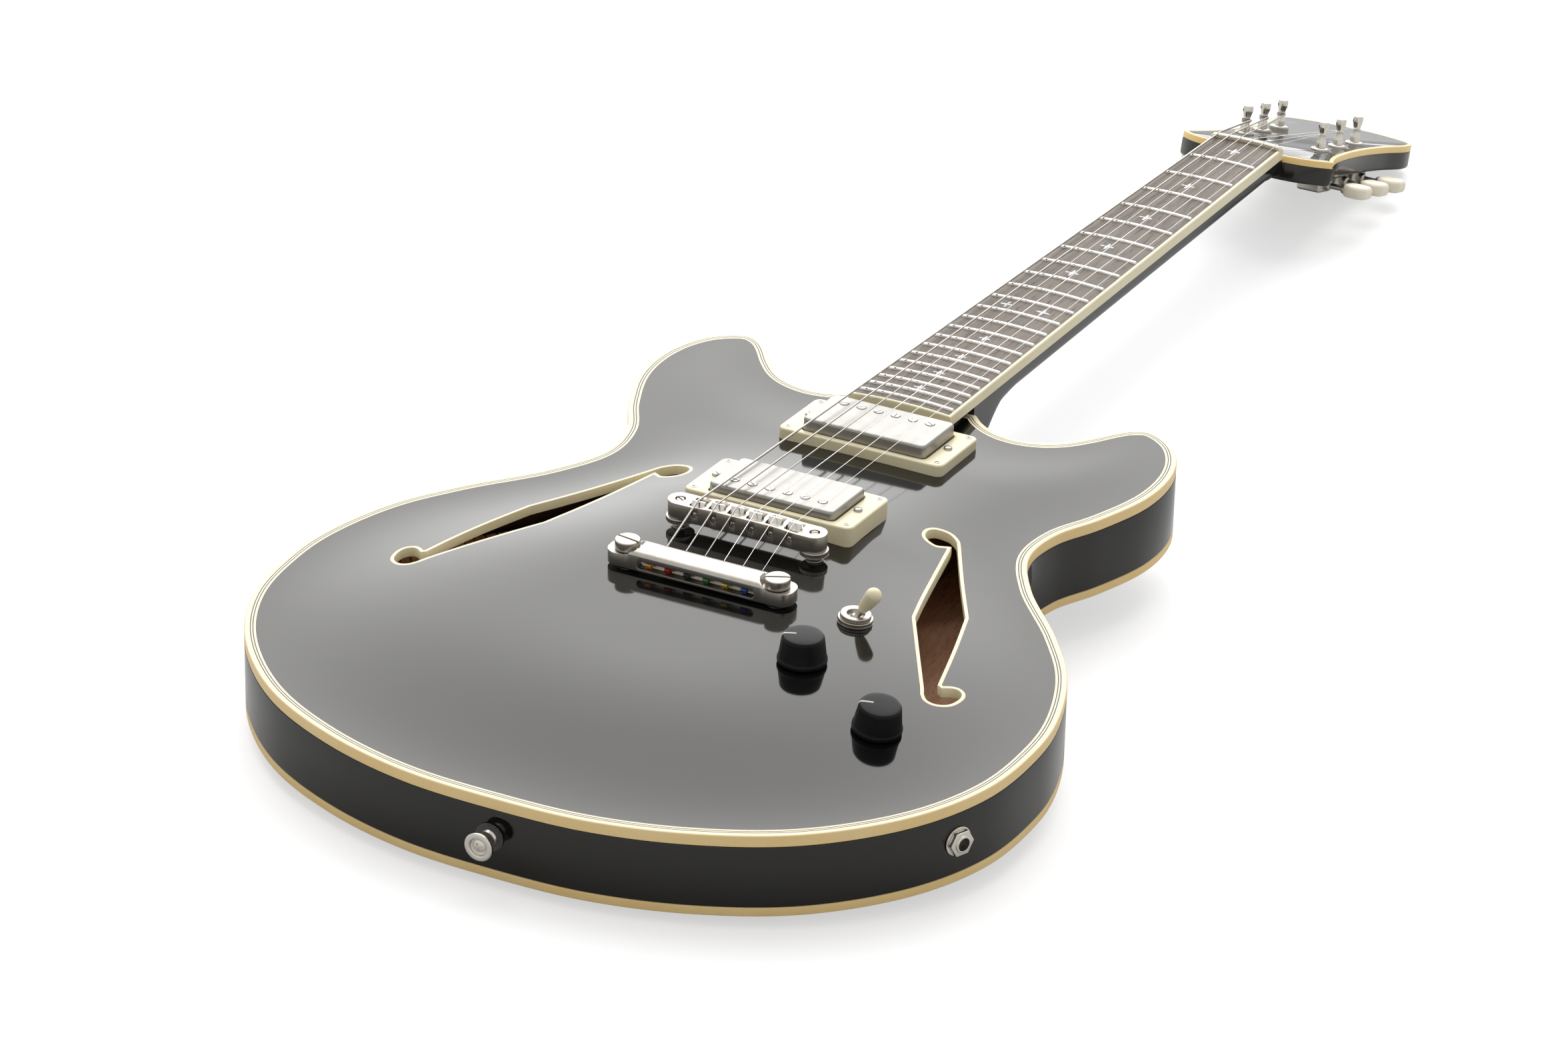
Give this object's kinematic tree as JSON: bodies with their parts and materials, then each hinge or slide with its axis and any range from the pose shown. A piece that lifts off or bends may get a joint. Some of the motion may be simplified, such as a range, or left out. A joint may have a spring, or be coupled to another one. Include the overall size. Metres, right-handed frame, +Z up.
{
  "type": "semi-hollow electric guitar",
  "caption": "Semi-hollow electric guitar with two rounded horns, bound f-holes, covered pickups, a stop tailpiece and geared tuners.",
  "frame": {"origin": "middle of the footprint, on the table that the guitar lies on with its back down", "axes": "+Y along the neck to the headstock, +X to the treble side, +Z up"},
  "size_m": [0.4054, 1.0824, 0.0914],
  "materials": {
    "black_lacquer": "high gloss black lacquer over maple",
    "bare_wood": "bare maple",
    "cream_plastic": "aged cream plastic",
    "rosewood": "open-pored rosewood with nickel frets",
    "steel": "plain and wound steel wire",
    "nickel": "polished nickel plate",
    "black_plastic": "satin black plastic",
    "coil": "wound coils on bobbins",
    "zinc": "dull zinc plate"
  },
  "bodies": {
    "guitar": {"body_top": "black_lacquer", "body_back": "black_lacquer", "body_rim": "black_lacquer", "centre_block": "bare_wood", "top_binding": "cream_plastic", "back_binding": "cream_plastic", "f_hole_binding_bass": "cream_plastic", "f_hole_binding_treble": "cream_plastic", "neck": "black_lacquer", "headstock_face": "black_lacquer", "headstock_binding": "cream_plastic", "truss_rod_cover": "black_plastic", "fretboard": "rosewood", "fretboard_binding": "cream_plastic", "nut": "cream_plastic", "pickup_ring_neck": "cream_plastic", "pickup_cover_neck": "nickel", "pickup_coils_neck": "coil", "pickup_ring_bridge": "cream_plastic", "pickup_cover_bridge": "nickel", "pickup_coils_bridge": "coil", "bridge_body": "nickel", "bridge_post_bass": "nickel", "bridge_post_treble": "nickel", "tailpiece": "nickel", "tailpiece_stud_bass": "nickel", "tailpiece_stud_treble": "nickel", "string_1": "steel", "string_2": "steel", "string_3": "steel", "string_4": "steel", "string_5": "steel", "string_6": "steel", "pot_volume": "zinc", "pot_tone": "zinc", "toggle_switch": "nickel", "jack": "nickel", "strap_button_tail": "nickel", "strap_button_heel": "nickel"},
    "tuner_button_1": {"tuner_button_1": "cream_plastic"},
    "tuner_post_1": {"tuner_post_1": "nickel"},
    "tuner_button_2": {"tuner_button_2": "cream_plastic"},
    "tuner_post_2": {"tuner_post_2": "nickel"},
    "tuner_button_3": {"tuner_button_3": "cream_plastic"},
    "tuner_post_3": {"tuner_post_3": "nickel"},
    "tuner_button_4": {"tuner_button_4": "cream_plastic"},
    "tuner_post_4": {"tuner_post_4": "nickel"},
    "tuner_button_5": {"tuner_button_5": "cream_plastic"},
    "tuner_post_5": {"tuner_post_5": "nickel"},
    "tuner_button_6": {"tuner_button_6": "cream_plastic"},
    "tuner_post_6": {"tuner_post_6": "nickel"},
    "knob_volume": {"knob_volume": "black_plastic"},
    "knob_tone": {"knob_tone": "black_plastic"},
    "toggle_lever": {"toggle_lever": "cream_plastic"},
    "saddle_1": {"saddle_1": "nickel"},
    "saddle_2": {"saddle_2": "nickel"},
    "saddle_3": {"saddle_3": "nickel"},
    "saddle_4": {"saddle_4": "nickel"},
    "saddle_5": {"saddle_5": "nickel"},
    "saddle_6": {"saddle_6": "nickel"}
  },
  "joints": [
    {"name": "button_turn_1", "type": "hinge", "parent": "guitar", "child": "tuner_button_1", "pos_m": [-0.024, 0.41328, 0.02927], "axis": [-1, 0, 0], "continuous": true},
    {"name": "post_turn_1", "type": "hinge", "parent": "guitar", "child": "tuner_post_1", "pos_m": [-0.024, 0.41829, 0.0476], "axis": [0, 0.2638, 0.9646], "continuous": true},
    {"name": "button_turn_2", "type": "hinge", "parent": "guitar", "child": "tuner_button_2", "pos_m": [-0.024, 0.44136, 0.02159], "axis": [-1, 0, 0], "continuous": true},
    {"name": "post_turn_2", "type": "hinge", "parent": "guitar", "child": "tuner_post_2", "pos_m": [-0.024, 0.44638, 0.03991], "axis": [0, 0.2638, 0.9646], "continuous": true},
    {"name": "button_turn_3", "type": "hinge", "parent": "guitar", "child": "tuner_button_3", "pos_m": [-0.024, 0.46945, 0.01391], "axis": [-1, 0, 0], "continuous": true},
    {"name": "post_turn_3", "type": "hinge", "parent": "guitar", "child": "tuner_post_3", "pos_m": [-0.024, 0.47447, 0.03223], "axis": [0, 0.2638, 0.9646], "continuous": true},
    {"name": "button_turn_4", "type": "hinge", "parent": "guitar", "child": "tuner_button_4", "pos_m": [0.024, 0.46945, 0.01391], "axis": [1, 0, 0], "continuous": true},
    {"name": "post_turn_4", "type": "hinge", "parent": "guitar", "child": "tuner_post_4", "pos_m": [0.024, 0.47447, 0.03223], "axis": [0, 0.2638, 0.9646], "continuous": true},
    {"name": "button_turn_5", "type": "hinge", "parent": "guitar", "child": "tuner_button_5", "pos_m": [0.024, 0.44136, 0.02159], "axis": [1, 0, 0], "continuous": true},
    {"name": "post_turn_5", "type": "hinge", "parent": "guitar", "child": "tuner_post_5", "pos_m": [0.024, 0.44638, 0.03991], "axis": [0, 0.2638, 0.9646], "continuous": true},
    {"name": "button_turn_6", "type": "hinge", "parent": "guitar", "child": "tuner_button_6", "pos_m": [0.024, 0.41328, 0.02927], "axis": [1, 0, 0], "continuous": true},
    {"name": "post_turn_6", "type": "hinge", "parent": "guitar", "child": "tuner_post_6", "pos_m": [0.024, 0.41829, 0.0476], "axis": [0, 0.2638, 0.9646], "continuous": true},
    {"name": "volume_turn", "type": "hinge", "parent": "guitar", "child": "knob_volume", "pos_m": [0.0778, -0.36621, 0.0682], "axis": [0.0355, -0.0504, 0.9981], "range_deg": [0, 270]},
    {"name": "tone_turn", "type": "hinge", "parent": "guitar", "child": "knob_tone", "pos_m": [0.1332, -0.39821, 0.06076], "axis": [0.1379, -0.0947, 0.9859], "range_deg": [0, 270]},
    {"name": "toggle_swing", "type": "hinge", "parent": "guitar", "child": "toggle_lever", "pos_m": [0.08173, -0.31693, 0.0713], "axis": [-0.0028, 1, 0.0083], "range_deg": [-56, 0]},
    {"name": "saddle_slide_1", "type": "slide", "parent": "guitar", "child": "saddle_1", "axis": [0, 0.999, 0.0454], "range_m": [-0.0009, 0.0033]},
    {"name": "saddle_slide_2", "type": "slide", "parent": "guitar", "child": "saddle_2", "axis": [0, 0.999, 0.0454], "range_m": [-0.0017, 0.0025]},
    {"name": "saddle_slide_3", "type": "slide", "parent": "guitar", "child": "saddle_3", "axis": [0, 0.999, 0.0454], "range_m": [-0.0025, 0.0017]},
    {"name": "saddle_slide_4", "type": "slide", "parent": "guitar", "child": "saddle_4", "axis": [0, 0.999, 0.0454], "range_m": [-0.0015, 0.0027]},
    {"name": "saddle_slide_5", "type": "slide", "parent": "guitar", "child": "saddle_5", "axis": [0, 0.999, 0.0454], "range_m": [-0.0023, 0.0019]},
    {"name": "saddle_slide_6", "type": "slide", "parent": "guitar", "child": "saddle_6", "axis": [0, 0.999, 0.0454], "range_m": [-0.003, 0.0012]}
  ],
  "couplings": [
    {"joint": "post_turn_1", "follows": "button_turn_1", "ratio": -0.066667},
    {"joint": "post_turn_2", "follows": "button_turn_2", "ratio": -0.066667},
    {"joint": "post_turn_3", "follows": "button_turn_3", "ratio": -0.066667},
    {"joint": "post_turn_4", "follows": "button_turn_4", "ratio": 0.066667},
    {"joint": "post_turn_5", "follows": "button_turn_5", "ratio": 0.066667},
    {"joint": "post_turn_6", "follows": "button_turn_6", "ratio": 0.066667}
  ]
}
